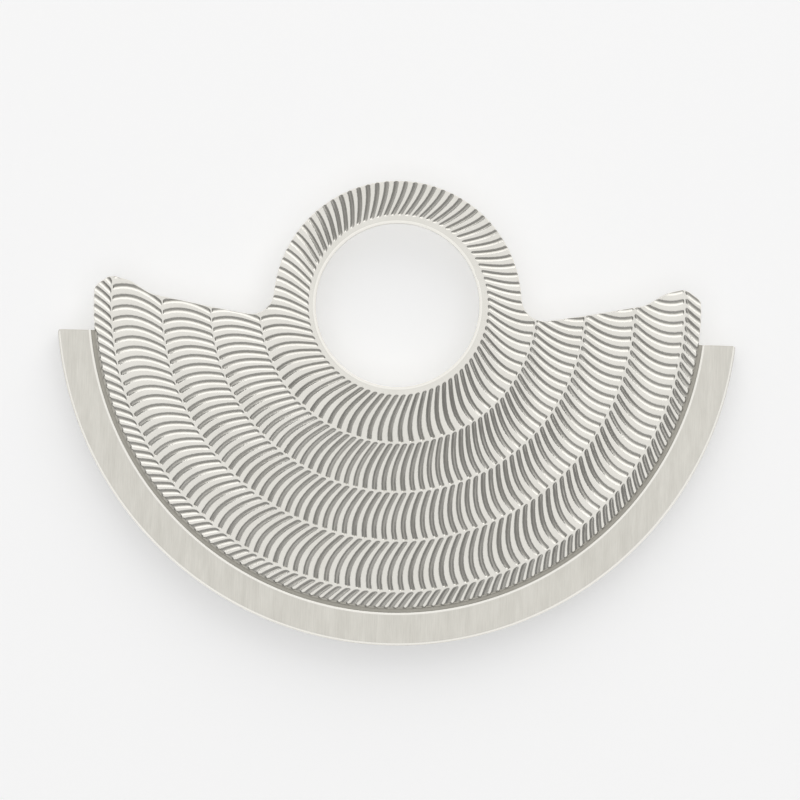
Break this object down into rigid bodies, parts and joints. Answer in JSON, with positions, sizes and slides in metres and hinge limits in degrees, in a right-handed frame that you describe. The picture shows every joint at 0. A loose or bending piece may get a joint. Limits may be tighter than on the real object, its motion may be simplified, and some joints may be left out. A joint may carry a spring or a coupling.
{
  "type": "automatic watch rotor",
  "caption": "Half-disc oscillating weight of a self-winding watch: engraved carrier plate with a round bearing bore, riveted onto a heavy brushed rim.",
  "frame": {"origin": "on the bearing bore's axis, at the hub's lower face where the ball bearing goes in", "axes": "+Z along the bore towards the engraved face, -Y towards the heavy rim, +X across the horns"},
  "size_m": [0.0264, 0.0181, 0.0018],
  "materials": {
    "plated_brass": "nickel plated, satin, with cut waves",
    "plated_tungsten": "straight grained on the ledge, bevels polished",
    "rivet_steel": "ground flush"
  },
  "bodies": {
    "root": {"carrier_plate": "plated_brass", "inertia_segment": "plated_tungsten", "segment_rivets": "rivet_steel"}
  },
  "joints": []
}
